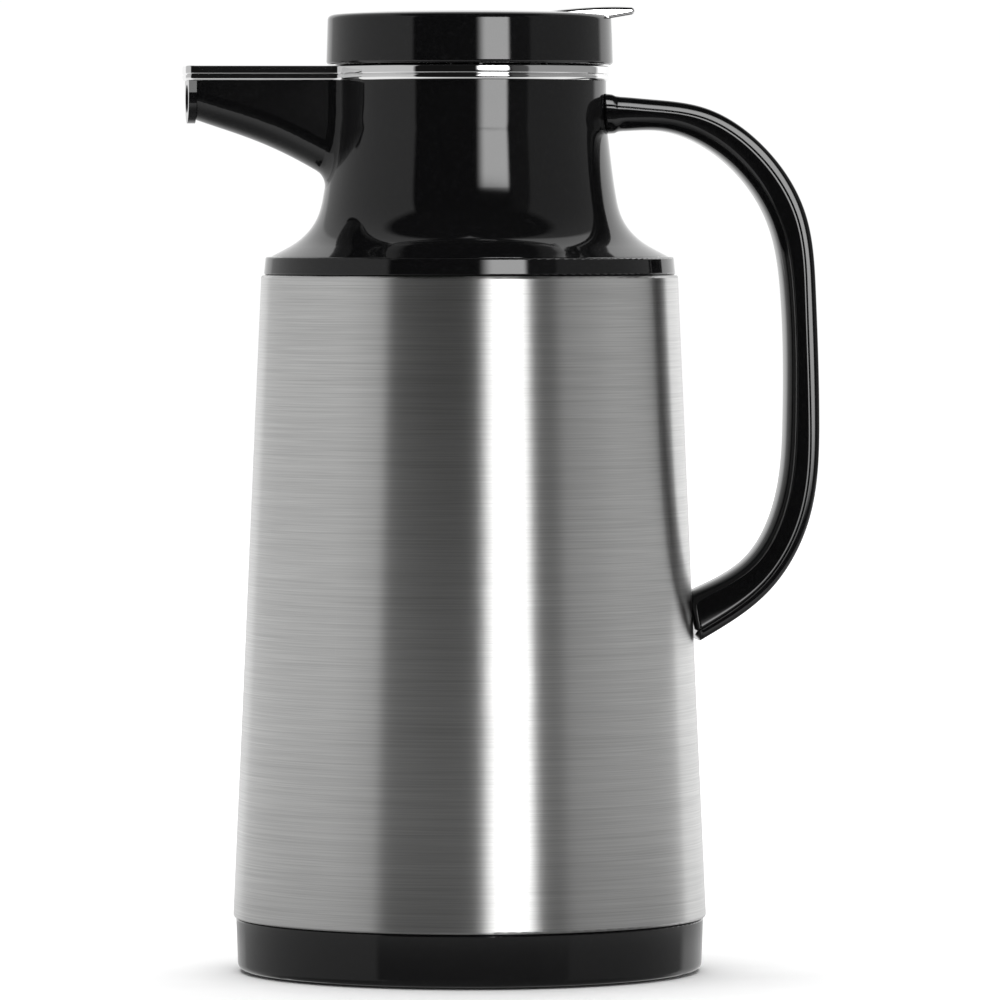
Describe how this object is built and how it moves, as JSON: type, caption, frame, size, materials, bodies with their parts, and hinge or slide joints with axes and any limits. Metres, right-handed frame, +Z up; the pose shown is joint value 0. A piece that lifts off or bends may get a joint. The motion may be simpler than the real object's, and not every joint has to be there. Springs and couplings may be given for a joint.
{
  "type": "vacuum coffee server",
  "caption": "Vacuum coffee server: tapered brushed-steel jacket, glass liner, gloss black neck with spout, handle, and a screw-in lid with a thumb-lever valve.",
  "frame": {"origin": "centre of the resting surface under the foot ring, on the body's own axis", "axes": "+Z up along the body's axis, -X towards the spout, +X towards the handle; the outside is mirrored about the XZ plane"},
  "size_m": [0.1777, 0.1326, 0.27],
  "materials": {
    "brushed_steel": "horizontally brushed stainless steel",
    "gloss_black": "high-gloss moulded plastic",
    "matte_black": "satin moulded plastic",
    "chrome": "bright plated",
    "rubber": "moulded rubber",
    "silicone": "food-grade silicone",
    "silvered_glass": "blown glass, silvered in the vacuum space",
    "spacer_fibre": "pressed fibre",
    "screw_steel": "machined stainless steel",
    "valve_plastic": "natural moulded plastic"
  },
  "bodies": {
    "body": {"steel_jacket": "brushed_steel", "base_cup": "gloss_black", "base_seal": "rubber", "foot_ring": "rubber", "bottom_plug": "matte_black", "glass_liner": "silvered_glass", "vacuum_spacers": "spacer_fibre", "liner_cushion": "rubber", "neck_gasket": "rubber", "neck_moulding": "gloss_black", "shoulder_ring": "gloss_black", "shoulder_lock_ring": "matte_black", "chrome_trim": "chrome", "handle_shell": "gloss_black", "handle_grip": "gloss_black", "handle_neck_screw": "screw_steel", "handle_foot_plate": "screw_steel", "handle_foot_screw": "screw_steel"},
    "seal": {"stopper_gasket": "silicone"},
    "stopper": {"stopper_body": "matte_black", "stopper_seat": "matte_black", "stem_seal": "silicone", "lid_cap": "gloss_black", "lid_screws": "screw_steel", "lever_pin": "screw_steel", "valve_spring": "screw_steel"},
    "lever": {"thumb_lever": "chrome"},
    "valve": {"valve_stem": "valve_plastic", "valve_disc": "valve_plastic", "valve_seal": "silicone"}
  },
  "joints": [
    {"name": "stopper_lift", "type": "slide", "parent": "body", "child": "seal", "axis": [0, 0, 1], "range_m": [0, 0.0586]},
    {"name": "stopper_turn", "type": "hinge", "parent": "seal", "child": "stopper", "pos_m": [0, 0, 0.25], "axis": [0, 0, 1], "range_deg": [0, 1080]},
    {"name": "lever_press", "type": "hinge", "parent": "stopper", "child": "lever", "pos_m": [0.024, 0, 0.257], "axis": [0, 1, 0], "range_deg": [0, 12], "stiffness_Nm_per_rad": 0.6, "springref_deg": -5.73},
    {"name": "valve_lift", "type": "slide", "parent": "stopper", "child": "valve", "axis": [0, 0, 1], "range_m": [0, 0.0051], "deforming": ["valve_spring"]}
  ],
  "couplings": [
    {"joint": "stopper_lift", "follows": "stopper_turn", "m_per_rad": 0.0031035},
    {"joint": "valve_lift", "follows": "lever_press", "m_per_rad": 0.024}
  ]
}
